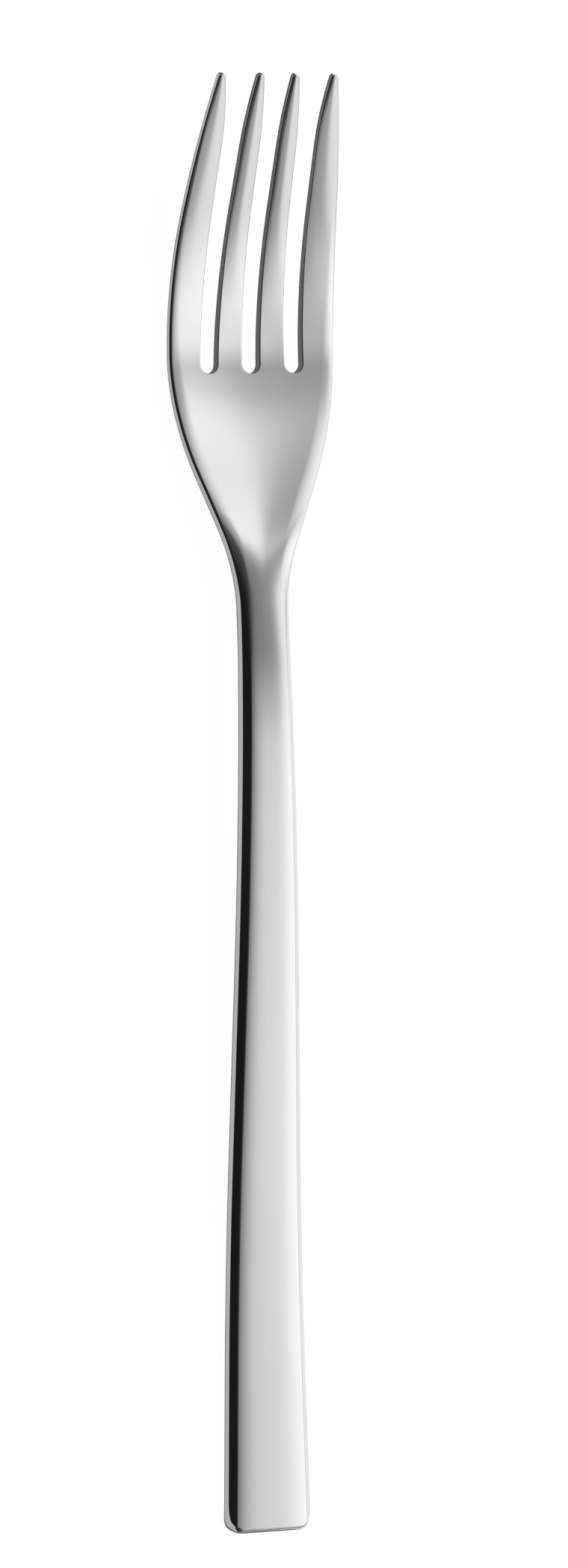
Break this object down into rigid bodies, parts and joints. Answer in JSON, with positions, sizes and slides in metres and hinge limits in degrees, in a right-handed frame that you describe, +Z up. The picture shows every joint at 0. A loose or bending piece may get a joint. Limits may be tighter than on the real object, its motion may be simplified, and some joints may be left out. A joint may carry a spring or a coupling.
{
  "type": "dessert fork",
  "caption": "Polished stainless steel dessert fork with a tapering bar handle, a narrow neck, a dished head and slim upturned tines.",
  "frame": {"origin": "on the table, under the middle of the fork's length and on its middle line", "axes": "+Y from the butt of the handle to the tine tips, +X to the right with the hollow of the head facing up, +Z up from the table"},
  "size_m": [0.0222, 0.1838, 0.0133],
  "materials": {
    "polished_steel": "polished"
  },
  "bodies": {
    "root": {"handle": "polished_steel", "neck": "polished_steel", "head_plate": "polished_steel", "tine_outer_left": "polished_steel", "tine_inner_left": "polished_steel", "tine_inner_right": "polished_steel", "tine_outer_right": "polished_steel"}
  },
  "joints": []
}
